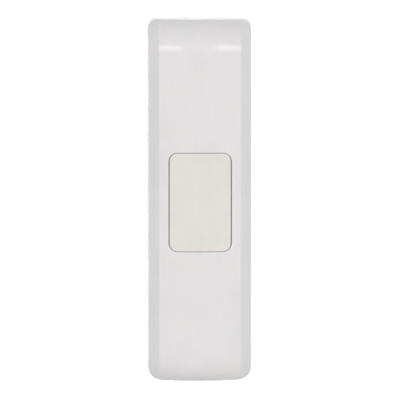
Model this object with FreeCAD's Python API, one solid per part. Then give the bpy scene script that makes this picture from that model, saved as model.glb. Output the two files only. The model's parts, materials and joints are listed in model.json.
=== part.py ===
import FreeCAD, Part

import math
import os

os.makedirs("parts", exist_ok=True)

# Surface-mounted switch with a push plate in the front and a pull cord outlet in the lower end.
# Millimetres. X runs across the switch, Z is up, and the wall is the plane Y = 0. "Depth" below is the
# distance out from the wall, which is -Y, so the front of the switch is at depth CASE_DEPTH.

# Case, outside
CASE_HEIGHT = 102.0
CASE_WIDTH = 29.25
CASE_DEPTH = 16.0
CROWN_RADIUS = 45.0  # the front is crowned across its width
END_RADIUS = 9.1  # the front rolls over into each end
END_RADIUS_CENTRE = 42.0  # height of the roll's centre line above and below the middle
END_BOW = 0.65  # the lower end is bowed outwards by this much at its middle
DRAFT_DEG = 1.6
BEVEL_REACH = 25.95  # |x| + depth on the 45 degree face along each long edge
TOP_CORNER = 2.6
LOWER_CORNER = 3.6
FRONT_EDGE = 0.6  # small rounding of the outer edges
WALL = 1.8
WALL_GAP = 0.4  # the cover stands this far off the wall

# Window and push plate
WINDOW_WIDTH = 17.52
WINDOW_HEIGHT = 27.63
WINDOW_CORNER = 2.5
WINDOW_EDGE = 0.35
SIDE_GAP = 0.2
END_GAP = 0.08
PLATE_EDGE = 0.3
PLATE_RECESS = 0.15  # the plate's face sits this far behind the case's front
PLATE_SKIN = 1.5
PLATE_FLANGE = 1.2
FLANGE_LAP = 1.0
PLATE_TRAVEL = 0.8

# Back plate
FLOOR = 2.0
EDGE_GAP = 0.3
RIM = 1.2
RIM_DEPTH = 3.6
WALL_HOLE_R = 2.1
WALL_HOLE_SINK_R = 3.6
WALL_HOLE_BOSS_R = 4.0
WALL_HOLE_BOSS_DEPTH = 3.0
WALL_HOLE_X = 8.0
WALL_HOLE_HIGH = 43.0
WALL_HOLE_LOW = -37.0
CABLE_HOLE_R = 4.25
CABLE_HOLE_Z = 36.0

REAR_PANELS = ((-30.0, -6.0), (6.0, 29.0))  # shallow recesses in the rear face
REAR_PANEL_HALF_WIDTH = 9.5
REAR_PANEL_DEEP = 0.4

# Circuit board
BOARD_BACK = 3.2
BOARD_FRONT = 4.8
BOARD_HALF_WIDTH = 11.0
BOARD_LOW = -30.5
BOARD_HIGH = 30.5
PIN_END = 2.6  # depth that the soldered pins reach
BOARD_SCREWS = ((-8.6, 18.0), (8.6, 18.0), (-8.6, -21.0), (8.6, -21.0))
BOARD_SCREW_R = 1.0
BOARD_SCREW_END = 1.2
BOARD_SCREW_HEAD_R = 2.0

# Snap-action switches, lying along Z
SNAP_LENGTH = 12.8
SNAP_WIDTH = 5.8
SNAP_FRONT = 10.6
SNAP_WALL = 0.8
PLUNGER_OFFSET = 1.6
PLUNGER_R = 0.8
PLUNGER_TIP = 11.8
PLATE_SNAP_Z = 0.0
CORD_SNAP_Z = -22.6
ACTUATOR_GAP = 0.05
BLADE_FRONT = 8.55
BLADE_THICK = 0.25
BLADE_EYE_R = 0.3
BLADE_PIVOT = -4.6  # from the switch's middle

# Guide frame of the push plate
GUIDE_BACK = 8.0
GUIDE_FRONT = 9.5
GUIDE_HALF_WIDTH = 10.2
POST_Z = 9.3
POST_R = 1.2
POST_FIT = 0.08
POST_BACK = 8.3
GUIDE_PIN_R = 0.8
SLEEVE_R = 1.75
GUIDE_HALF_HEIGHT = 14.2
GUIDE_LEGS = ((-9.0, -12.8), (9.0, -12.8), (-9.0, 12.8), (9.0, 12.8))
SLEEVE_FRONT = 11.0
PLATE_SPRING_R = 2.15
PLATE_SPRING_WIRE = 0.4
PLATE_SPRING_TURNS = 5

# Pull slide and cord outlet
CORD_DEPTH = 6.2
PULL_TRAVEL = 4.0
RAMP_SLOPE = 0.2  # the cord switch's plunger moves this much for each mm of pull
SLIDE_HALF_WIDTH = 4.0
SLIDE_FRONT = 13.6
SLIDE_FOOT_FRONT = 13.2
SLIDE_FOOT_LOW = -41.0
SLIDE_FOOT_HIGH = -37.5
SLIDE_FOOT_BACK = 3.2
SLIDE_FOOT_HALF_WIDTH = 3.5
SLIDE_HIGH = -15.8
CORD_EYE_R = 1.3
KNOT_R = 2.3
KNOT_DEEP = 1.5
BUSH_R = 2.95
BUSH_BORE_R = 1.6
BUSH_FLANGE_R = 3.4
BUSH_FLANGE = 1.2
BUSH_LOW = -50.7
BUSH_SEAT = -48.6
BUSH_MOUTH = 0.5
PULL_SPRING_R = 2.5
PULL_SPRING_WIRE = 0.5
PULL_SPRING_TURNS = 4

# Terminal block
POLES = 4
POLE_PITCH = 3.81
BLOCK_LOW = 22.0
BLOCK_HIGH = 29.5
BLOCK_FRONT = 12.6
POLE_Z = 26.2
CLAMP_SCREW_R = 0.85

# Cover screws, in the lower end
COVER_SCREW_X = 9.0
COVER_SCREW_DEPTH = 6.0
COVER_SCREW_R = 1.1
COVER_SCREW_HEAD_R = 2.1

COVER_SEAT = -49.85  # height of the underside of the cover screws' heads
COVER_SCREW_END = -44.5

# Hooks at the top of the back plate
HOOK_X = (-6.5, 6.5)
HOOK_HIGH = 48.85
HOOK_FRONT = 6.2

FAR = 200.0  # longer than the whole switch, for cutting tools
CENTRE_OF_CROWN = CASE_DEPTH - CROWN_RADIUS  # depth of the crown's axis
END_INSIDE = CASE_HEIGHT / 2 - WALL  # inner face of the cover's ends, at the wall


def at(x, depth, z):
    return FreeCAD.Vector(x, -depth, z)


def block(x0, x1, depth0, depth1, z0, z1):
    return Part.makeBox(x1 - x0, depth1 - depth0, z1 - z0, at(x0, depth1, z0))


def rod_out(x, z, depth0, depth1, radius):
    """A round bar pointing out from the wall."""
    return Part.makeCylinder(radius, depth1 - depth0, at(x, depth0, z), at(0, 1, 0))


def rod_up(x, depth, z0, z1, radius):
    """A round bar pointing up."""
    return Part.makeCylinder(radius, z1 - z0, at(x, depth, z0), at(0, 0, 1))


def rounded_bar(half_width, half_height, corner, depth0, depth1):
    """A bar pointing out from the wall, with a rounded-rectangle section centred on x = 0, z = 0."""
    bar = block(-half_width, half_width, depth0, depth1, -half_height, half_height)
    return bar.makeFillet(corner, [e for e in bar.Edges if runs_out(e)])


def runs_out(edge):
    """True for an edge that runs out from the wall."""
    first, last = edge.Vertexes[0].Point, edge.Vertexes[-1].Point
    return abs(first.y - last.y) > 0.9 * edge.Length


def joined(shapes):
    """One solid from shapes that touch or overlap."""
    return shapes[0].multiFuse(shapes[1:]).removeSplitter()


def save(shape, node):
    shape.exportStep("parts/" + node + ".step")


def crown_bar(drop):
    """Everything behind the crowned front surface, moved in by drop."""
    radius = CROWN_RADIUS - drop
    return Part.makeCylinder(radius, 2 * FAR, at(0, CENTRE_OF_CROWN, -FAR), at(0, 0, 1))


def outline(depth, inset):
    """Outline of the case at one depth, with its drafted sides and its bowed lower end."""
    shrink = inset + depth * math.tan(math.radians(DRAFT_DEG))
    half = CASE_WIDTH / 2 - shrink
    top = CASE_HEIGHT / 2 - shrink
    low = -top + END_BOW
    edges = [
        Part.LineSegment(at(-half, depth, low), at(-half, depth, top)).toShape(),
        Part.LineSegment(at(-half, depth, top), at(half, depth, top)).toShape(),
        Part.LineSegment(at(half, depth, top), at(half, depth, low)).toShape(),
        Part.Arc(at(half, depth, low), at(0, depth, -top), at(-half, depth, low)).toShape(),
    ]
    return Part.Wire(edges)


def rolled_section(x, back, front, inset):
    """Section along the case in the plane of one x: flat in front, with each end rolled over."""
    roll = END_RADIUS - inset
    shoulder = front - roll
    high = END_RADIUS_CENTRE + roll
    diagonal = roll * math.sqrt(0.5)

    def corner(sign):
        ends = (at(x, shoulder, sign * high), at(x, front, sign * END_RADIUS_CENTRE))
        middle = at(x, shoulder + diagonal, sign * (END_RADIUS_CENTRE + diagonal))
        return Part.Arc(ends[0], middle, ends[1]).toShape()

    edges = [
        Part.LineSegment(at(x, back, -high), at(x, shoulder, -high)).toShape(),
        corner(-1),
        Part.LineSegment(at(x, front, -END_RADIUS_CENTRE), at(x, front, END_RADIUS_CENTRE)).toShape(),
        corner(1),
        Part.LineSegment(at(x, shoulder, high), at(x, back, high)).toShape(),
        Part.LineSegment(at(x, back, high), at(x, back, -high)).toShape(),
    ]
    return Part.Face(Part.Wire(edges))


def crowned_body(inset):
    """Body of revolution about the crown's axis, whose ends roll over with END_RADIUS."""
    section = rolled_section(0, CENTRE_OF_CROWN, CASE_DEPTH - inset, inset)
    body = section.revolve(at(0, CENTRE_OF_CROWN, 0), at(0, 0, 1), 360)
    body.rotate(at(0, CENTRE_OF_CROWN, 0), at(0, 0, 1), 180)  # puts the seam on the far side
    return body


def bevelled_body(side, inset):
    """Everything behind the 45 degree face along one long edge, which rolls over at its ends too."""
    reach = BEVEL_REACH - inset * math.sqrt(2)
    start = -side * CASE_WIDTH
    section = rolled_section(start, -FAR, reach + CASE_WIDTH, inset)
    return section.extrude(at(2 * side * CASE_WIDTH, -2 * CASE_WIDTH, 0))


def case_form(inset):
    """The case's outer form, with every face moved in by inset."""
    behind, ahead = -3.0, CASE_DEPTH + 1.0
    form = Part.makeLoft([outline(behind, inset), outline(ahead, inset)], True, True)
    top_edges = [e for e in form.Edges if runs_out(e) and e.CenterOfMass.z > 0]
    form = form.makeFillet(max(TOP_CORNER - inset, 0.6), top_edges)
    low_edges = [e for e in form.Edges if runs_out(e) and e.CenterOfMass.z < -CASE_HEIGHT / 4]
    form = form.makeFillet(max(LOWER_CORNER - inset, 0.6), low_edges)
    form = form.common(crowned_body(inset))
    return form.common(bevelled_body(-1, inset)).common(bevelled_body(1, inset))


def outer_shell():
    """The case's outer form as the cover has it: open at the wall, with its outer edges rounded."""
    shell = case_form(0).common(block(-FAR, FAR, WALL_GAP, FAR, -FAR, FAR))

    def is_sharp(edge):
        box = edge.BoundBox
        on_roll_start = box.ZLength < 0.01 and abs(abs(box.ZMin) - END_RADIUS_CENTRE) < 0.01
        return box.YMax < -WALL_GAP - 0.01 and not runs_out(edge) and not on_roll_start

    return shell.makeFillet(FRONT_EDGE, [e for e in shell.Edges if is_sharp(e)])


def front_cover():
    cover = outer_shell().cut(case_form(WALL))

    # ledges at the top, behind the back plate's two hooks
    ledges = [block(x - 1.9, x + 1.9, 3.8, 4.8, HOOK_HIGH - 0.75, END_INSIDE + 0.5) for x in HOOK_X]
    # ribs that keep the pull slide straight
    rib_back, rib_low, rib_high = 11.5, -33.0, -18.0
    ribs = []
    for side in (-1, 1):
        inner = side * (SLIDE_HALF_WIDTH + 0.1)
        outer = inner + side
        ribs.append(block(min(inner, outer), max(inner, outer), rib_back, CASE_DEPTH, rib_low, rib_high))
    ribs = [rib.common(crown_bar(WALL / 2)) for rib in ribs]
    # flat pad that the cord bush's flange seats on
    pad = rod_up(0, CORD_DEPTH, -END_INSIDE - WALL / 2, BUSH_SEAT, BUSH_FLANGE_R + 0.4)
    cover = joined([cover, pad] + ledges + ribs)

    window = rounded_bar(WINDOW_WIDTH / 2, WINDOW_HEIGHT / 2, WINDOW_CORNER, 5.0, CASE_DEPTH + 2)
    cover = cover.cut(window)
    cover = cover.makeFillet(WINDOW_EDGE, [e for e in cover.Edges if on_window_rim(e)])

    cover = cover.cut(rod_up(0, CORD_DEPTH, -CASE_HEIGHT / 2 - 1, -END_INSIDE + 1.5, BUSH_R + 0.05))
    for side in (-1, 1):
        x = side * COVER_SCREW_X
        hole = rod_up(x, COVER_SCREW_DEPTH, -CASE_HEIGHT / 2 - 1, -END_INSIDE + 1.5, COVER_SCREW_R + 0.2)
        seat = rod_up(x, COVER_SCREW_DEPTH, -CASE_HEIGHT / 2 - 1, COVER_SEAT, COVER_SCREW_HEAD_R + 0.15)
        cover = cover.cut(hole).cut(seat)
    return cover


def on_window_rim(edge):
    """True for the edges where the window meets the crowned front."""
    box = edge.BoundBox
    inside = abs(box.Center.x) < WINDOW_WIDTH / 2 + 0.1 and abs(box.Center.z) < WINDOW_HEIGHT / 2 + 0.1
    return inside and box.YMax < -CASE_DEPTH + WALL / 2 and box.XLength < WINDOW_WIDTH


def press_plate():
    half_width = WINDOW_WIDTH / 2 - SIDE_GAP
    half_height = WINDOW_HEIGHT / 2 - END_GAP
    corner = WINDOW_CORNER - SIDE_GAP
    back, ahead = 5.0, CASE_DEPTH + 2
    flange_drop = WALL + 0.08
    face = rounded_bar(half_width, half_height, corner, back, ahead).common(crown_bar(PLATE_RECESS))
    rim = [e for e in face.Edges if e.BoundBox.YMax < -CASE_DEPTH + WALL / 2]
    face = face.makeFillet(PLATE_EDGE, rim)
    flange = rounded_bar(
        WINDOW_WIDTH / 2 + FLANGE_LAP, WINDOW_HEIGHT / 2 + FLANGE_LAP, corner + 1, back, ahead
    ).common(crown_bar(flange_drop))
    pocket = rounded_bar(
        half_width - PLATE_SKIN, half_height - PLATE_SKIN, corner - 1, back, ahead
    ).common(crown_bar(PLATE_SKIN))
    plate = joined([face, flange]).cut(pocket).cut(crown_bar(flange_drop + PLATE_FLANGE))

    skin_depth = CASE_DEPTH - PLATE_SKIN + 0.3  # where posts and ribs end, inside the skin
    stop_depth = SLEEVE_FRONT + PLATE_TRAVEL + 0.1  # shoulders that meet the guide's sleeves
    posts = [rod_out(0, side * POST_Z, POST_BACK, skin_depth, POST_R) for side in (-1, 1)]
    posts += [rod_out(0, side * POST_Z, stop_depth, skin_depth, SLEEVE_R) for side in (-1, 1)]
    boss_z = PLATE_SNAP_Z + PLUNGER_OFFSET
    boss = rod_out(0, boss_z, PLUNGER_TIP + ACTUATOR_GAP, skin_depth, 1.6)
    rib = block(-half_width + 1, half_width - 1, 12.9, skin_depth, boss_z - 0.5, boss_z + 0.5)
    return joined([plate, boss, rib.common(crown_bar(PLATE_SKIN - 0.3))] + posts)


def back_plate():
    half_width = CASE_WIDTH / 2 - WALL - FLOOR * math.tan(math.radians(DRAFT_DEG)) - EDGE_GAP
    top = END_INSIDE - EDGE_GAP
    low = -END_INSIDE + END_BOW + EDGE_GAP
    plate = upright_slab(half_width, low, top, 0, FLOOR, 1.5)
    rim = upright_slab(half_width, low, top, FLOOR, RIM_DEPTH, 1.5)
    rim = rim.cut(upright_slab(half_width - RIM, low + RIM, top - RIM, FLOOR, RIM_DEPTH, 0.6))
    rim = rim.cut(block(-4.2, 4.2, FLOOR, RIM_DEPTH, low, low + RIM))  # room for the bush's flange
    pieces = [plate, rim]

    holes = []
    for x in (-WALL_HOLE_X, WALL_HOLE_X):
        for z in (WALL_HOLE_LOW, WALL_HOLE_HIGH):
            pieces.append(rod_out(x, z, FLOOR, WALL_HOLE_BOSS_DEPTH, WALL_HOLE_BOSS_R))
            holes.append(rod_out(x, z, -1, WALL_HOLE_BOSS_DEPTH + 1, WALL_HOLE_R))
            sink = WALL_HOLE_SINK_R - WALL_HOLE_R
            sink_at = at(x, WALL_HOLE_BOSS_DEPTH - sink + 0.4, z)
            holes.append(Part.makeCone(WALL_HOLE_R, WALL_HOLE_SINK_R, sink, sink_at, at(0, 1, 0)))
    holes.append(rod_out(0, CABLE_HOLE_Z, -1, FLOOR + 1, CABLE_HOLE_R))
    for panel_low, panel_high in REAR_PANELS:
        holes.append(upright_slab(REAR_PANEL_HALF_WIDTH, panel_low, panel_high, -1, REAR_PANEL_DEEP, 2.0))

    for x, z in BOARD_SCREWS:
        pieces.append(rod_out(x, z, FLOOR, BOARD_BACK, 2.6))
        holes.append(rod_out(x, z, BOARD_SCREW_END - 0.2, BOARD_BACK + 1, BOARD_SCREW_R + 0.05))

    for x in HOOK_X:
        pieces.append(block(x - 1.5, x + 1.5, FLOOR, HOOK_FRONT, HOOK_HIGH - 2.05, HOOK_HIGH - 0.95))
        pieces.append(block(x - 1.5, x + 1.5, HOOK_FRONT - 1.2, HOOK_FRONT, HOOK_HIGH - 0.95, HOOK_HIGH))

    for side in (-1, 1):
        x = side * COVER_SCREW_X
        pieces.append(block(x - 2.1, x + 2.1, FLOOR, COVER_SCREW_DEPTH + 1.8, low, COVER_SCREW_END - 0.8))
        holes.append(rod_up(x, COVER_SCREW_DEPTH, low - 1, COVER_SCREW_END + 0.2, COVER_SCREW_R + 0.05))
        # channel that keeps the pull slide's foot straight
        inner = side * (SLIDE_FOOT_HALF_WIDTH + 0.1)
        outer = inner + side * 0.8
        channel_low, channel_high = SLIDE_FOOT_LOW - PULL_TRAVEL - 0.5, SLIDE_FOOT_LOW + 1
        pieces.append(block(min(inner, outer), max(inner, outer), FLOOR, 8.0, channel_low, channel_high))
    shape = joined(pieces)
    for hole in holes:
        shape = shape.cut(hole)
    return shape


def upright_slab(half_width, low, top, depth0, depth1, corner):
    """A flat slab parallel to the wall, with rounded corners."""
    slab = block(-half_width, half_width, depth0, depth1, low, top)
    return slab.makeFillet(corner, [e for e in slab.Edges if runs_out(e)])


def screw_out(x, z, seat, end, shank_r, head_r, head):
    """A cross-head screw driven towards the wall, with its head's underside at depth seat."""
    body = rod_out(x, z, end, seat, shank_r).fuse(rod_out(x, z, seat, seat + head, head_r))
    arm, width, deep = head_r * 0.62, 0.22, head * 0.6
    body = body.cut(block(x - arm, x + arm, seat + head - deep, seat + head + 1, z - width, z + width))
    return body.cut(block(x - width, x + width, seat + head - deep, seat + head + 1, z - arm, z + arm))


def screw_up(x, depth, seat, end, shank_r, head_r, head):
    """A cross-head screw driven upwards, with its head's upper side at height seat."""
    body = rod_up(x, depth, seat, end, shank_r).fuse(rod_up(x, depth, seat - head, seat, head_r))
    arm, width, deep = head_r * 0.62, 0.22, head * 0.6
    low, high = seat - head - 1, seat - head + deep
    body = body.cut(block(x - arm, x + arm, depth - width, depth + width, low, high))
    return body.cut(block(x - width, x + width, depth - arm, depth + arm, low, high))


def snap_pins(z0):
    """Places (x, z) of a snap-action switch's three soldered pins."""
    return ((0.0, z0 - 5.1), (0.6, z0 + 4.9), (-1.55, z0 + 4.3))


def pole_x(index):
    return (index - (POLES - 1) / 2) * POLE_PITCH


def circuit_board():
    board = upright_slab(BOARD_HALF_WIDTH, BOARD_LOW, BOARD_HIGH, BOARD_BACK, BOARD_FRONT, 1.0)
    holes = [(x, z, BOARD_SCREW_R + 0.15) for x, z in BOARD_SCREWS]
    holes += [(x, z, 0.5) for z0 in (PLATE_SNAP_Z, CORD_SNAP_Z) for x, z in snap_pins(z0)]
    holes += [(pole_x(i), POLE_Z, 0.7) for i in range(POLES)]
    holes += [(x, z, GUIDE_PIN_R + 0.1) for x, z in (GUIDE_LEGS[0], GUIDE_LEGS[3])]
    for x, z, radius in holes:
        board = board.cut(rod_out(x, z, 0, BOARD_FRONT + 1, radius))
    return board


def snap_switch(name, z0):
    """A snap-action switch: case, side cover, plunger, contact blade and three terminals."""
    half = SNAP_LENGTH / 2
    side, back, front = SNAP_WIDTH / 2, BOARD_FRONT, SNAP_FRONT
    inner_side = side - SNAP_WALL
    plunger_z = z0 + PLUNGER_OFFSET

    case = block(-side, inner_side, back, front, z0 - half, z0 + half)
    case = case.cut(
        block(-inner_side, side, back + SNAP_WALL, front - SNAP_WALL, z0 - half + 0.8, z0 + half - 0.8)
    )
    case = case.cut(rod_out(0, plunger_z, front - 1, front + 1, PLUNGER_R + 0.06))
    for x, z in snap_pins(z0):
        case = case.cut(block(x - 0.36, x + 0.36, back - 1, back + SNAP_WALL, z - 0.36, z + 0.36))
    save(case, name + "_case")
    save(block(inner_side, side, back, front, z0 - half, z0 + half), name + "_cover")

    stem = rod_out(0, plunger_z, 9.2, PLUNGER_TIP, PLUNGER_R)
    stem = stem.makeFillet(0.3, [e for e in stem.Edges if e.BoundBox.YMax < -PLUNGER_TIP + 0.1])
    collar = rod_out(0, plunger_z, 9.0, 9.7, PLUNGER_R + 0.5)
    nose = rod_out(0, plunger_z, BLADE_FRONT + 0.07, 9.0, 0.5)
    save(joined([stem, collar, nose]), name + "_plunger")

    pivot_z = z0 + BLADE_PIVOT
    blade = block(-1.1, 1.1, BLADE_FRONT - BLADE_THICK, BLADE_FRONT, pivot_z, z0 + 4.9)
    eye_at = at(-1.1, BLADE_FRONT - BLADE_THICK / 2, pivot_z)
    eye = Part.makeCylinder(BLADE_EYE_R, 2.2, eye_at, FreeCAD.Vector(1, 0, 0))
    save(joined([blade, eye]), name + "_blade")

    pins = [block(x - 0.3, x + 0.3, PIN_END, back + SNAP_WALL, z - 0.3, z + 0.3) for x, z in snap_pins(z0)]
    inside = back + SNAP_WALL
    common = joined([pins[0], block(-1.1, 1.1, inside, 8.9, z0 - 5.6, z0 - 5.0)])
    lower_contact = joined(
        [
            pins[1],
            block(0.3, 0.9, inside, 6.5, z0 + 4.6, z0 + 5.2),
            block(-0.9, 1.1, 6.5, 6.75, z0 + 3.8, z0 + 5.2),
        ]
    )
    upper_contact = joined(
        [
            pins[2],
            block(-1.85, -1.25, inside, inside + 0.4, z0 + 3.9, z0 + 5.0),
            block(-1.75, -1.4, inside, 9.05, z0 + 3.9, z0 + 5.0),
            block(-1.75, 1.1, 8.8, 9.05, z0 + 3.9, z0 + 5.0),
        ]
    )
    save(Part.makeCompound([common, lower_contact, upper_contact]), name + "_terminals")


def guide_frame():
    pieces = [block(-GUIDE_HALF_WIDTH, GUIDE_HALF_WIDTH, GUIDE_BACK, GUIDE_FRONT, -GUIDE_HALF_HEIGHT,
                    GUIDE_HALF_HEIGHT)]
    pieces += [rod_out(0, side * POST_Z, GUIDE_BACK, SLEEVE_FRONT, SLEEVE_R) for side in (-1, 1)]
    for x, z in GUIDE_LEGS:
        pieces.append(block(x - 1.2, x + 1.2, BOARD_FRONT, GUIDE_BACK, z - 1.2, z + 1.2))
    pieces += [rod_out(x, z, PIN_END, BOARD_FRONT, GUIDE_PIN_R) for x, z in (GUIDE_LEGS[0], GUIDE_LEGS[3])]
    frame = joined(pieces)
    side, half = SNAP_WIDTH / 2 + 0.2, SNAP_LENGTH / 2 + 0.2
    frame = frame.cut(block(-side, side, 0, FAR, PLATE_SNAP_Z - half, PLATE_SNAP_Z + half))
    for z in (-POST_Z, POST_Z):
        frame = frame.cut(rod_out(0, z, 0, FAR, POST_R + POST_FIT))
    return frame


def coil(start, direction, length, radius, wire, turns):
    """A helical spring that starts at a point and is length long between its outermost faces."""
    rise = length - wire - 0.04
    path = Part.makeLongHelix(rise / turns, rise, radius)
    ring = Part.Wire(Part.makeCircle(wire / 2, FreeCAD.Vector(radius, 0, 0), FreeCAD.Vector(0, 1, 0)))
    spring = Part.Wire(path.Edges).makePipeShell([ring], True, True)
    spring.Placement = FreeCAD.Placement(
        start + direction * (wire / 2 + 0.02), FreeCAD.Rotation(FreeCAD.Vector(0, 0, 1), direction)
    )
    return spring


def pull_slide():
    half, foot_half = SLIDE_HALF_WIDTH, SLIDE_FOOT_HALF_WIDTH
    plunger_z = CORD_SNAP_Z + PLUNGER_OFFSET
    rest_back = PLUNGER_TIP + ACTUATOR_GAP
    ramp_low = plunger_z + PLUNGER_R
    ramp_high = ramp_low + PULL_TRAVEL
    ramp_back = rest_back - RAMP_SLOPE * PULL_TRAVEL
    points = [
        at(-half, SLIDE_FRONT, SLIDE_FOOT_HIGH),
        at(-half, rest_back, SLIDE_FOOT_HIGH),
        at(-half, rest_back, ramp_low),
        at(-half, ramp_back, ramp_high),
        at(-half, ramp_back, SLIDE_HIGH),
        at(-half, SLIDE_FRONT, SLIDE_HIGH),
    ]
    strip = Part.Face(Part.makePolygon(points + points[:1])).extrude(FreeCAD.Vector(2 * half, 0, 0))
    foot = block(-foot_half, foot_half, SLIDE_FOOT_BACK, SLIDE_FOOT_FRONT, SLIDE_FOOT_LOW, SLIDE_FOOT_HIGH)
    slide = joined([strip, foot])
    slide = slide.cut(rod_up(0, CORD_DEPTH, SLIDE_FOOT_LOW - 1, SLIDE_FOOT_HIGH + 1, CORD_EYE_R))
    return slide.cut(rod_up(0, CORD_DEPTH, SLIDE_FOOT_HIGH - KNOT_DEEP, SLIDE_FOOT_HIGH + 1, KNOT_R))


def cord_bush():
    body = rod_up(0, CORD_DEPTH, BUSH_LOW, BUSH_SEAT, BUSH_R)
    flange = rod_up(0, CORD_DEPTH, BUSH_SEAT, BUSH_SEAT + BUSH_FLANGE, BUSH_FLANGE_R)
    bush = joined([body, flange])
    bush = bush.cut(rod_up(0, CORD_DEPTH, BUSH_LOW - 1, BUSH_SEAT + BUSH_FLANGE + 1, BUSH_BORE_R))

    def is_mouth(edge):
        return edge.BoundBox.XLength < 2 * BUSH_BORE_R + 0.01 and edge.BoundBox.ZLength < 0.01

    return bush.makeFillet(BUSH_MOUTH, [e for e in bush.Edges if is_mouth(e)])


def terminal_block():
    half = POLES * POLE_PITCH / 2
    body = block(-half, half, BOARD_FRONT, BLOCK_FRONT, BLOCK_LOW, BLOCK_HIGH)
    for i in range(POLES):
        x = pole_x(i)
        body = body.cut(block(x - 1.45, x + 1.45, 5.8, 8.9, BLOCK_LOW + 1.6, BLOCK_HIGH + 1))
        body = body.cut(rod_out(x, POLE_Z, 8.9, BLOCK_FRONT + 1, 1.55))
        body = body.cut(block(x - 0.5, x + 0.5, BOARD_FRONT - 1, 5.8, POLE_Z - 0.5, POLE_Z + 0.5))
    return body


def terminal_clamp(x):
    """A cage that holds one wire, with a pin through the board."""
    low, high = POLE_Z - 1.6, POLE_Z + 1.6
    cage = block(x - 1.3, x + 1.3, 5.95, 8.75, low, high)
    cage = cage.cut(block(x - 0.9, x + 0.9, 6.35, 8.15, low - 1, high + 1))
    cage = cage.cut(rod_out(x, POLE_Z, 8.0, 9.0, CLAMP_SCREW_R + 0.08))
    return cage.fuse(block(x - 0.4, x + 0.4, PIN_END, 5.95, POLE_Z - 0.4, POLE_Z + 0.4))


def terminal_screw(x):
    screw = rod_out(x, POLE_Z, 7.5, 10.3, CLAMP_SCREW_R).fuse(rod_out(x, POLE_Z, 10.3, 11.7, 1.4))
    return screw.cut(block(x - 1.5, x + 1.5, 11.1, 12.0, POLE_Z - 0.2, POLE_Z + 0.2))


save(back_plate(), "back_plate")
save(front_cover(), "front_cover")
save(press_plate(), "press_plate")
save(circuit_board(), "circuit_board")
save(guide_frame(), "guide_frame")
snap_switch("plate_switch", PLATE_SNAP_Z)
snap_switch("cord_switch", CORD_SNAP_Z)
save(pull_slide(), "pull_slide")
save(cord_bush(), "cord_bush")
save(terminal_block(), "terminal_block")
save(Part.makeCompound([terminal_clamp(pole_x(i)) for i in range(POLES)]), "terminal_clamps")
save(Part.makeCompound([terminal_screw(pole_x(i)) for i in range(POLES)]), "terminal_screws")

board_screws = [
    screw_out(x, z, BOARD_FRONT, BOARD_SCREW_END, BOARD_SCREW_R, BOARD_SCREW_HEAD_R, 1.3)
    for x, z in BOARD_SCREWS
]
save(Part.makeCompound(board_screws), "board_screws")
cover_screws = [
    screw_up(side * COVER_SCREW_X, COVER_SCREW_DEPTH, COVER_SEAT, COVER_SCREW_END, COVER_SCREW_R,
             COVER_SCREW_HEAD_R, 0.8)
    for side in (-1, 1)
]
save(Part.makeCompound(cover_screws), "cover_screws")

plate_spring_length = CASE_DEPTH - PLATE_SKIN - 0.15 - GUIDE_FRONT
for spring_name, spring_z in (("plate_spring_upper", POST_Z), ("plate_spring_lower", -POST_Z)):
    spring = coil(at(0, GUIDE_FRONT, spring_z), at(0, 1, 0), plate_spring_length, PLATE_SPRING_R,
                  PLATE_SPRING_WIRE, PLATE_SPRING_TURNS)
    save(spring, spring_name)

bush_top = BUSH_SEAT + BUSH_FLANGE
pull_spring = coil(at(0, CORD_DEPTH, bush_top), at(0, 0, 1), SLIDE_FOOT_LOW - bush_top, PULL_SPRING_R,
                   PULL_SPRING_WIRE, PULL_SPRING_TURNS)
save(pull_spring, "pull_spring")
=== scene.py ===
import json
import math

import bpy
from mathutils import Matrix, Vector


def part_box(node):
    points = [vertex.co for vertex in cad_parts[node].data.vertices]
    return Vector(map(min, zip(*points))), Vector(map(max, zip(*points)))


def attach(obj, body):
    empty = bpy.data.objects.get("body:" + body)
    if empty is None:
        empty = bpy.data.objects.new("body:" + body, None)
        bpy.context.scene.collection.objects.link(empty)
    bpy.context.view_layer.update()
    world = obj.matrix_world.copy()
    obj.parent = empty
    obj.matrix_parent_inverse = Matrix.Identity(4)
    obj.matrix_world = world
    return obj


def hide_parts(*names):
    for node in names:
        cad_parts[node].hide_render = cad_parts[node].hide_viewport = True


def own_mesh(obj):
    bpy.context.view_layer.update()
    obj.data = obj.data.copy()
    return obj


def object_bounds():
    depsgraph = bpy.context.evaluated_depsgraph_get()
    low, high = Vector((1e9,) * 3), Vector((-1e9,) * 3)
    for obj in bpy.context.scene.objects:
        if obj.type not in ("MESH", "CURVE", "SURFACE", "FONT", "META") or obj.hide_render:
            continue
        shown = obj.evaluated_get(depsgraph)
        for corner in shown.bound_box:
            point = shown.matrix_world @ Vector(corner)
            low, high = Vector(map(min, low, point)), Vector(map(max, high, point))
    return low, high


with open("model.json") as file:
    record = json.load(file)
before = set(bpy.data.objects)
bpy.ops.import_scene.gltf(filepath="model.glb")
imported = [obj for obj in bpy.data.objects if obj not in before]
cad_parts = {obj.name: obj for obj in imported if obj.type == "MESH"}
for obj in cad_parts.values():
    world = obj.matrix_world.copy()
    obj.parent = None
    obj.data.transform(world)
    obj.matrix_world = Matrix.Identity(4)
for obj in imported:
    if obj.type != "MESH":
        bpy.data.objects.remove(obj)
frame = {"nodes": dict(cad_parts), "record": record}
cad_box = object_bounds()

scene = bpy.context.scene
scene.view_settings.view_transform = "Standard"

MM = 0.001
LOW, HIGH = cad_box
CENTRE = (LOW + HIGH) / 2
HEIGHT = HIGH.z - LOW.z


# ---------------------------------------------------------------- camera

CAMERA_DISTANCE = 1.25
CAMERA_ELEVATION = 4.7  # degrees above the horizon
CAMERA_SIDE = -1.2  # degrees round towards -X
CAMERA_AIM = Vector((0.1, 0.0, 0.12)) * MM  # from the middle of the switch
FRAME_OVER_HEIGHT = 1.098  # how much taller the picture is than the switch
SENSOR_WIDTH = 36.0


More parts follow.
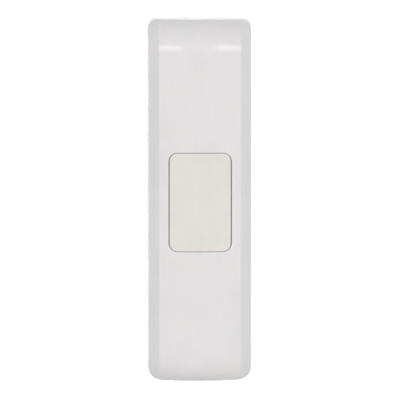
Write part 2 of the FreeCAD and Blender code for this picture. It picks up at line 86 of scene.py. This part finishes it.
def add_camera():
    data = bpy.data.cameras.new("camera")
    camera = bpy.data.objects.new("camera", data)
    scene.collection.objects.link(camera)
    side, up = math.radians(CAMERA_SIDE), math.radians(CAMERA_ELEVATION)
    back = Vector((math.sin(side) * math.cos(up), -math.cos(side) * math.cos(up), math.sin(up)))
    camera.location = CENTRE + CAMERA_AIM + back * CAMERA_DISTANCE
    camera.rotation_mode = "QUATERNION"
    camera.rotation_quaternion = (-back).to_track_quat("-Z", "Y")
    data.sensor_width = SENSOR_WIDTH
    data.lens = SENSOR_WIDTH * CAMERA_DISTANCE / (HEIGHT * FRAME_OVER_HEIGHT)
    data.clip_start, data.clip_end = 0.05, 50.0
    scene.camera = camera


# ---------------------------------------------------------------- node trees

class Nodes:
    """Builds a node tree a piece at a time."""

    def __init__(self, tree):
        self.tree = tree

    def add(self, kind, inputs=None, **settings):
        node = self.tree.nodes.new("ShaderNode" + kind)
        for name, value in settings.items():
            setattr(node, name, value)
        for key, value in (inputs or {}).items():
            self.put(node.inputs[key], value)
        return node

    def put(self, socket, value):
        """Links a socket to an output, or gives it a plain value."""
        if isinstance(value, bpy.types.NodeSocket):
            self.tree.links.new(value, socket)
        else:
            socket.default_value = value

    def maths(self, operation, *values):
        return self.add("Math", dict(enumerate(values)), operation=operation).outputs[0]

    def vector(self, operation, inputs, output="Vector"):
        return self.add("VectorMath", inputs, operation=operation).outputs[output]

    def axes(self, value):
        return self.add("SeparateXYZ", {0: value}).outputs

    def span(self, value, low, high, start=0.0, end=1.0, smooth=True):
        """Takes value's stretch from low to high to the stretch from start to end, and stops at its ends."""
        kind = "SMOOTHSTEP" if smooth else "LINEAR"
        inputs = {"Value": value, "From Min": low, "From Max": high, "To Min": start, "To Max": end}
        return self.add("MapRange", inputs, interpolation_type=kind).outputs["Result"]


class Look(Nodes):
    """A procedural material on a Principled shader. Patterns are sized in metres, in the switch's frame."""

    def __init__(self, name, colour):
        self.material = bpy.data.materials.new(name)
        self.material.use_nodes = True
        super().__init__(self.material.node_tree)
        self.shader = self.tree.nodes["Principled BSDF"]
        self.place = self.add("TexCoord").outputs["Object"]
        self.colour = (*colour, 1)
        self.normal = None

    def set(self, name, value):
        self.put(self.shader.inputs[name], value)

    def noise(self, size, detail=2.0, stretch=(1, 1, 1)):
        """Noise with features of this size, drawn out along an axis whose stretch is above 1."""
        inputs = {"Vector": self.place, "Scale": tuple(1 / s for s in stretch)}
        place = self.add("Mapping", inputs).outputs[0]
        return self.add("TexNoise", {"Vector": place, "Scale": 1 / size, "Detail": detail}).outputs["Fac"]

    def patches(self, size, low, high, start=0.0, end=1.0, detail=2.0, stretch=(1, 1, 1)):
        """Soft patches of noise: start where it is under low, and end where it is over high."""
        return self.span(self.noise(size, detail, stretch), low, high, start, end)

    def tint(self, factor, colour, amount):
        """Moves the colour towards another one, by amount where factor is 1."""
        mix = self.add("Mix", data_type="RGBA")
        factor_in, colour_in, other_in = mix.inputs["Factor"], mix.inputs[6], mix.inputs[7]
        self.put(factor_in, self.maths("MULTIPLY", factor, amount))
        self.put(colour_in, self.colour)
        self.put(other_in, (*colour, 1))
        self.colour = mix.outputs[2]

    def soften(self, radius):
        """Rounds the shading of sharp edges."""
        self.normal = self.add("Bevel", {"Radius": radius}).outputs[0]

    def bump(self, height, depth):
        inputs = {"Height": height, "Distance": depth}
        if self.normal:
            inputs["Normal"] = self.normal
        self.normal = self.add("Bump", inputs).outputs[0]

    def finish(self):
        self.set("Base Color", self.colour)
        if self.normal:
            self.set("Normal", self.normal)
        return self.material


def shade(colour, factor):
    return tuple(c * factor for c in colour)


# ---------------------------------------------------------------- studio

# The light that reaches the switch, by direction: a pale room, a broad glow from the camera's side, two
# soft boxes left and right of the camera and above it, and a bright backdrop straight behind the switch.
# Box angles are in degrees. Other limits are parts of a direction's unit vector.
ROOM = 0.63
ROOM_ABOVE = 0.57
ROOM_CHANGE = (-0.1, 0.5)  # upward part where ROOM starts to turn into ROOM_ABOVE, and where it has
GLOW = 0.42
BACKDROP = 1.2
BACKDROP_SIDE = 0.35  # how far the backdrop is off to the right
BACKDROP_EDGE = (0.52, 0.85)  # backward part where the backdrop starts, and where it is full
BOX_LIGHT_LEFT = 4.8
BOX_LIGHT_RIGHT = 6.0
BOX_MIDDLE = 0.1  # sideways part within which one box's light turns into the other's
BOX_AZIMUTH = 22.0
BOX_HALF_WIDTH = 7.5
BOX_SIDE_BLUR = 3.5
BOX_ELEVATION = 12.0
BOX_HALF_HEIGHT = 6.5
BOX_END_BLUR = 2.5
SEEN_BACKGROUND = 1.0

FLOOR_DROP = 0.06  # below the switch, which hangs on a wall
FLOOR_SIZE = 30.0
FLOOR_GLOW = 0.5


def soft_boxes(tree, x, y, z):
    """The light of the two soft boxes in the direction x, y, z."""
    degrees = math.degrees(1)
    turn = tree.maths("ARCTAN2", tree.maths("ABSOLUTE", x), tree.maths("MULTIPLY", y, -1.0))
    azimuth = tree.maths("MULTIPLY", turn, degrees)
    elevation = tree.maths("MULTIPLY", tree.maths("ARCSINE", z), degrees)

    def window(angle, centre, half, blur):
        away = tree.maths("ABSOLUTE", tree.maths("SUBTRACT", angle, centre))
        return tree.span(away, half - blur, half + blur, 1.0, 0.0)

    across = window(azimuth, BOX_AZIMUTH, BOX_HALF_WIDTH, BOX_SIDE_BLUR)
    upwards = window(elevation, BOX_ELEVATION, BOX_HALF_HEIGHT, BOX_END_BLUR)
    strength = tree.span(x, -BOX_MIDDLE, BOX_MIDDLE, BOX_LIGHT_LEFT, BOX_LIGHT_RIGHT)
    return tree.maths("MULTIPLY", tree.maths("MULTIPLY", across, upwards), strength)


def studio_world():
    world = bpy.data.worlds.new("studio")
    world.use_nodes = True
    tree = Nodes(world.node_tree)
    x, y, z = tree.axes(tree.add("TexCoord").outputs["Generated"])
    forward = tree.maths("MAXIMUM", tree.maths("MULTIPLY", y, -1.0), 0.0)
    behind = tree.maths("ADD", y, tree.maths("MULTIPLY", x, BACKDROP_SIDE))

    light = tree.span(z, *ROOM_CHANGE, ROOM, ROOM_ABOVE)
    light = tree.maths("ADD", light, tree.maths("MULTIPLY", forward, GLOW))
    light = tree.maths("ADD", light, soft_boxes(tree, x, y, z))
    light = tree.maths("MAXIMUM", light, tree.span(behind, *BACKDROP_EDGE, 0.0, BACKDROP))

    seen = tree.add("LightPath").outputs["Is Camera Ray"]
    change = tree.maths("SUBTRACT", SEEN_BACKGROUND, light)
    light = tree.maths("ADD", light, tree.maths("MULTIPLY", seen, change))
    background = world.node_tree.nodes["Background"]
    tree.put(background.inputs["Strength"], light)
    tree.put(background.inputs["Color"], (1, 1, 1, 1))
    return world


def floor_material():
    look = Look("floor", (0.9, 0.9, 0.9))
    look.set("Roughness", 1.0)
    look.set("Specular IOR Level", 0.0)
    look.set("Emission Color", (1, 1, 1, 1))
    look.set("Emission Strength", FLOOR_GLOW)
    return look.material


def add_studio():
    scene.world = studio_world()
    bpy.ops.mesh.primitive_plane_add(size=FLOOR_SIZE, location=(0, 0, LOW.z - FLOOR_DROP))
    floor = bpy.context.object
    floor.name = "floor"
    floor.data.materials.append(floor_material())
    floor.visible_diffuse = False
    floor.visible_glossy = False


# ---------------------------------------------------------------- plastics and metals

def moulded(name, colour, roughness, grain, grain_depth, wave_depth, edge=0.2 * MM, spread=0.0):
    """Moulded plastic. edge is how far sharp edges look rounded, and spread how far light goes inside."""
    look = Look(name, colour)
    look.soften(edge)
    look.tint(look.patches(9 * MM, 0.4, 0.7, detail=3.0), shade(colour, 0.94), 0.35)

    flow_marks = look.patches(1.1 * MM, 0.45, 0.8, detail=3.0, stretch=(1, 1, 9))
    look.tint(flow_marks, shade(colour, 1.05), 0.30)
    specks = look.patches(0.16 * MM, 0.70, 0.78, detail=1.0)
    look.tint(specks, shade(colour, 0.80), 0.35)

    uneven_gloss = look.patches(7 * MM, 0.3, 0.7, roughness * 0.86, roughness * 1.14, detail=4.0)
    fine_gloss = look.patches(0.5 * MM, 0.3, 0.7, -0.02, 0.02)
    look.set("Roughness", look.maths("ADD", uneven_gloss, fine_gloss))
    look.bump(look.noise(2.2 * MM), wave_depth)
    look.bump(look.noise(grain), grain_depth)
    look.set("IOR", 1.5)
    if spread:
        look.set("Subsurface Weight", 1.0)
        look.set("Subsurface Radius", (1.0, 0.92, 0.85))
        look.set("Subsurface Scale", spread)
    return look.finish()


def fibre_filled(name, colour, fibre, roughness):
    """Glass-filled plastic: short pale fibres under a dull skin, with a spark-eroded texture."""
    look = Look(name, colour)
    for stretch in ((1, 1, 7), (7, 1, 1), (1, 7, 1)):
        look.tint(look.patches(0.07 * MM, 0.58, 0.72, detail=1.0, stretch=stretch), fibre, 0.25)
    look.tint(look.patches(3 * MM, 0.4, 0.7, detail=3.0), shade(colour, 0.7), 0.4)
    look.set("Roughness", look.patches(0.8 * MM, 0.3, 0.7, roughness - 0.08, roughness + 0.08, detail=3.0))
    look.bump(look.noise(0.18 * MM, 3.0), 0.006 * MM)
    return look.finish()


def metal(name, colour, stain, roughness, lines, line_depth):
    """Bare or plated metal: rolling or drawing lines, stains, pits and uneven polish."""
    look = Look(name, colour)
    look.set("Metallic", 1.0)
    streaks = look.noise(0.09 * MM, 2.0, lines)
    look.tint(look.span(streaks, 0.35, 0.7), shade(colour, 0.72), 0.55)
    look.tint(look.patches(0.9 * MM, 0.5, 0.75, detail=4.0), stain, 0.45)
    pits = look.patches(0.12 * MM, 0.68, 0.75, detail=1.0)
    look.tint(pits, shade(stain, 0.6), 0.5)

    dull = look.patches(0.6 * MM, 0.3, 0.7, -0.06, 0.08, detail=3.0)
    polish = look.span(streaks, 0.3, 0.7, roughness, roughness * 1.3)
    look.set("Roughness", look.maths("ADD", polish, dull))
    look.bump(streaks, line_depth)
    return look.finish()


# ---------------------------------------------------------------- circuit board

TRACK_HALF = 0.45 * MM
TRACK_CLEARANCE = 0.4 * MM  # bare laminate each side of a track
POUR_MARGIN = 0.9 * MM  # bare laminate along the board's edges
VIA_R = 0.42 * MM
VIA_HOLE_R = 0.19 * MM
VIA_INSET = 2.2 * MM  # from the board's edges
ETCH_BLUR = 0.04 * MM
CLOTH_PITCH = 3.2 * MM
POLES = 4

COPPER_UNDER_MASK = (0.07, 0.34, 0.13)
TIN = (0.66, 0.66, 0.62)
# painted shade: a near-black disc stands in for the dark inside of each via's hole
VIA_HOLE_SHADE = (0.02, 0.03, 0.02)
SAWN_LAMINATE = (0.52, 0.50, 0.28)
LAMINATE_LAYER = (0.30, 0.27, 0.12)


def track_routes():
    """Corners of each copper track, from the terminal block's pins to the pins of the two switches."""
    block_low, block_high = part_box("terminal_block")
    plate_low, plate_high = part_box("plate_switch_terminals")
    cord_low, cord_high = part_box("cord_switch_terminals")
    pitch = (block_high.x - block_low.x) / POLES
    pin_z = (block_low.z + block_high.z) / 2
    ends = (cord_low.z, plate_high.z, plate_low.z, (cord_low.z + cord_high.z) / 2)
    routes = []
    for pole, end_z in enumerate(ends):
        x = block_low.x + (pole + 0.5) * pitch
        bend_z = end_z + abs(x)  # the last stretch turns in at 45 degrees
        routes.append([Vector((x, 0, pin_z)), Vector((x, 0, bend_z)), Vector((0, 0, end_z))])
    return routes


def via_places():
    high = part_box("circuit_board")[1]
    x_side, z_end = high.x - VIA_INSET, high.z - VIA_INSET
    heights = (z_end, z_end / 2, -z_end / 2, -z_end)
    places = [Vector((side * x_side, 0, z)) for side in (-1, 1) for z in heights]
    return places + [Vector((0, 0, z_end * 0.6)), Vector((0, 0, -z_end))]


def least(look, values):
    lowest = values[0]
    for value in values[1:]:
        lowest = look.maths("MINIMUM", lowest, value)
    return lowest


def from_run(look, place, start, end):
    """Distance from a straight run of track."""
    along = end - start
    offset = look.vector("SUBTRACT", {0: place, 1: start})
    share = look.vector("DOT_PRODUCT", {0: offset, 1: along / along.length_squared}, "Value")
    nearest = look.vector("SCALE", {0: along, "Scale": look.span(share, 0.0, 1.0, smooth=False)})
    return look.vector("DISTANCE", {0: offset, 1: nearest}, "Value")


def etched(look, distance, edge, inside, outside):
    """inside where the distance is under edge, and outside beyond it."""
    return look.span(distance, edge - ETCH_BLUR, edge + ETCH_BLUR, inside, outside)


def copper_areas(look, place, x, z):
    """1 on the tracks, and on the pour that fills the board between them."""
    runs = [run for route in track_routes() for run in zip(route, route[1:])]
    to_track = least(look, [from_run(look, place, *run) for run in runs])
    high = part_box("circuit_board")[1]
    to_side = look.maths("SUBTRACT", high.x, look.maths("ABSOLUTE", x))
    to_end = look.maths("SUBTRACT", high.z, look.maths("ABSOLUTE", z))
    from_edges = etched(look, look.maths("MINIMUM", to_side, to_end), POUR_MARGIN, 0.0, 1.0)
    from_tracks = etched(look, to_track, TRACK_HALF + TRACK_CLEARANCE, 0.0, 1.0)
    pour = look.maths("MULTIPLY", from_edges, from_tracks)
    return look.maths("MAXIMUM", pour, etched(look, to_track, TRACK_HALF, 1.0, 0.0))


def weave(look, axis):
    wave = look.add("TexWave", {"Vector": look.place, "Scale": 1 / CLOTH_PITCH, "Distortion": 0.6})
    wave.bands_direction = axis
    return wave.outputs["Fac"]


def circuit_laminate(name, mask):
    """Solder mask over woven glass laminate, with etched copper under it, tinned vias with painted shade in
    their holes, and sawn edges.
    """
    look = Look(name, mask)
    x, y, z = look.axes(look.place)
    place = look.add("CombineXYZ", {0: x, 2: z}).outputs[0]

    cloth = look.maths("MULTIPLY", weave(look, "X"), weave(look, "Z"))
    look.tint(cloth, shade(mask, 1.6), 0.22)
    copper = copper_areas(look, place, x, z)
    look.tint(copper, COPPER_UNDER_MASK, 0.8)
    look.tint(look.patches(4 * MM, 0.4, 0.7, detail=3.0), shade(mask, 0.75), 0.35)

    to_via = least(look, [look.vector("DISTANCE", {0: place, 1: via}, "Value") for via in via_places()])
    look.tint(etched(look, to_via, VIA_R, 1.0, 0.0), TIN, 1.0)
    # painted shade: each via's hole is painted dark, not cut
    look.tint(etched(look, to_via, VIA_HOLE_R, 1.0, 0.0), VIA_HOLE_SHADE, 1.0)

    facing = look.axes(look.add("NewGeometry").outputs["True Normal"])[1]
    edge = look.span(look.maths("ABSOLUTE", facing), 0.4, 0.6, 1.0, 0.0)
    layers = look.patches(0.25 * MM, 0.4, 0.6, stretch=(6, 1, 6))
    look.tint(edge, SAWN_LAMINATE, 0.9)
    look.tint(look.maths("MULTIPLY", edge, layers), LAMINATE_LAYER, 0.5)
    look.set("Roughness", look.span(edge, 0.0, 1.0, 0.28, 0.8))
    look.bump(cloth, 0.006 * MM)
    look.bump(copper, 0.02 * MM)
    return look.finish()


# ---------------------------------------------------------------- every material slot of the record

MOULDED = {
    "case_white": dict(
        colour=(0.80, 0.785, 0.785), roughness=0.19, grain=0.3 * MM, grain_depth=0.0004 * MM,
        wave_depth=0.0010 * MM, edge=0.4 * MM, spread=0.5 * MM),
    "plate_cream": dict(
        colour=(0.80, 0.774, 0.733), roughness=0.20, grain=0.3 * MM, grain_depth=0.0006 * MM,
        wave_depth=0.0015 * MM, spread=0.5 * MM),
    "base_plastic": dict(
        colour=(0.76, 0.76, 0.745), roughness=0.50, grain=0.22 * MM, grain_depth=0.010 * MM,
        wave_depth=0.002 * MM),
    "natural_nylon": dict(
        colour=(0.78, 0.76, 0.68), roughness=0.38, grain=0.25 * MM, grain_depth=0.004 * MM,
        wave_depth=0.004 * MM, spread=1.2 * MM),
    "plunger_red": dict(
        colour=(0.55, 0.05, 0.035), roughness=0.30, grain=0.2 * MM, grain_depth=0.002 * MM,
        wave_depth=0.002 * MM),
}

FIBRE_FILLED = {
    "switch_black": dict(colour=(0.028, 0.028, 0.032), fibre=(0.16, 0.16, 0.17), roughness=0.46),
    "terminal_grey": dict(colour=(0.36, 0.39, 0.40), fibre=(0.56, 0.58, 0.58), roughness=0.50),
}

METALS = {
    "brass_plated": dict(
        colour=(0.74, 0.70, 0.60), stain=(0.60, 0.47, 0.28), roughness=0.26, lines=(1, 1, 12),
        line_depth=0.003 * MM),
    "zinc_steel": dict(
        colour=(0.70, 0.72, 0.74), stain=(0.62, 0.60, 0.48), roughness=0.24, lines=(4, 4, 1),
        line_depth=0.003 * MM),
    "spring_steel": dict(
        colour=(0.56, 0.56, 0.57), stain=(0.34, 0.32, 0.30), roughness=0.30, lines=(4, 4, 4),
        line_depth=0.002 * MM),
    "contact_bronze": dict(
        colour=(0.80, 0.55, 0.34), stain=(0.50, 0.30, 0.16), roughness=0.30, lines=(1, 1, 10),
        line_depth=0.003 * MM),
}

SOLDER_MASK = (0.022, 0.17, 0.075)


def all_looks():
    looks = {"board_green": circuit_laminate("board_green", SOLDER_MASK)}
    for make, table in ((moulded, MOULDED), (fibre_filled, FIBRE_FILLED), (metal, METALS)):
        for name, settings in table.items():
            looks[name] = make(name, **settings)
    return looks


def dress(looks):
    for entry in frame["record"]["subparts"]:
        for item in frame["nodes"][entry["node"]].material_slots:
            item.material = looks[entry["material_slot"]]


# ---------------------------------------------------------------- springs

PLATE_WIRE = 0.4 * MM
PLATE_TURNS = 7
PULL_WIRE = 0.45 * MM
PULL_TURNS = 5
CLOSED_TURNS = 1.0  # at each end of a spring, lying flat against the next turn
WIRE_SIDES = 14
STEPS_PER_TURN = 40


def tube_rings(path, radius):
    """Points round a wire, one ring for each point of its path."""
    points = []
    across = None
    for i, centre in enumerate(path):
        along = (path[min(i + 1, len(path) - 1)] - path[max(i - 1, 0)]).normalized()
        if across is None:
            across = along.orthogonal().normalized()
        else:
            across = (across - along * across.dot(along)).normalized()
        other = along.cross(across)
        for k in range(WIRE_SIDES):
            angle = 2 * math.pi * k / WIRE_SIDES
            points.append(centre + (across * math.cos(angle) + other * math.sin(angle)) * radius)
    return points


def tube_mesh(name, path, radius):
    """A round wire along a path, with its two ends closed."""
    faces = []
    last = (len(path) - 1) * WIRE_SIDES
    for ring in range(0, last, WIRE_SIDES):
        for k in range(WIRE_SIDES):
            a, b = ring + k, ring + (k + 1) % WIRE_SIDES
            faces.append((a, b, b + WIRE_SIDES, a + WIRE_SIDES))
    faces.append(tuple(reversed(range(WIRE_SIDES))))
    faces.append(tuple(range(last, last + WIRE_SIDES)))

    mesh = bpy.data.meshes.new(name)
    mesh.from_pydata([tuple(p) for p in tube_rings(path, radius)], [], faces)
    for polygon in mesh.polygons:
        polygon.use_smooth = len(polygon.vertices) == 4
    return mesh


def spring_path(start, axis, side, length, radius, wire, turns):
    """Points along a compression spring's wire, from its fixed end."""
    up = axis.cross(side)
    open_rise = length - wire * (1 + 2 * CLOSED_TURNS)
    steps = int(turns * STEPS_PER_TURN)
    points = []
    for i in range(steps + 1):
        turn = turns * i / steps
        opened = min(max((turn - CLOSED_TURNS) / (turns - 2 * CLOSED_TURNS), 0.0), 1.0)
        closed = min(turn, CLOSED_TURNS) + max(turn - turns + CLOSED_TURNS, 0.0)
        height = wire / 2 + closed * wire + opened * open_rise
        angle = 2 * math.pi * turn
        points.append(start + axis * height + (side * math.cos(angle) + up * math.sin(angle)) * radius)
    return points


def add_spring(node, axis, wire, turns, steel):
    """A wound spring in place of its CAD solid."""
    low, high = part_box(node)
    length = abs((high - low).dot(axis))
    radius = (high.x - low.x - wire) / 2
    start = (low + high) / 2 - axis * (length / 2)
    path = spring_path(start, axis, Vector((1, 0, 0)), length, radius, wire, turns)
    spring = bpy.data.objects.new(node + "_wound", tube_mesh(node + "_wound", path, wire / 2))
    scene.collection.objects.link(spring)
    spring.data.materials.append(steel)
    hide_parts(node)
    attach(spring, "case")
    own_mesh(spring)


def add_springs(steel):
    outwards, upwards = Vector((0, -1, 0)), Vector((0, 0, 1))
    for node in ("plate_spring_upper", "plate_spring_lower"):
        add_spring(node, outwards, PLATE_WIRE, PLATE_TURNS, steel)
    add_spring("pull_spring", upwards, PULL_WIRE, PULL_TURNS, steel)


add_camera()
add_studio()
made_looks = all_looks()
dress(made_looks)
add_springs(made_looks["spring_steel"])
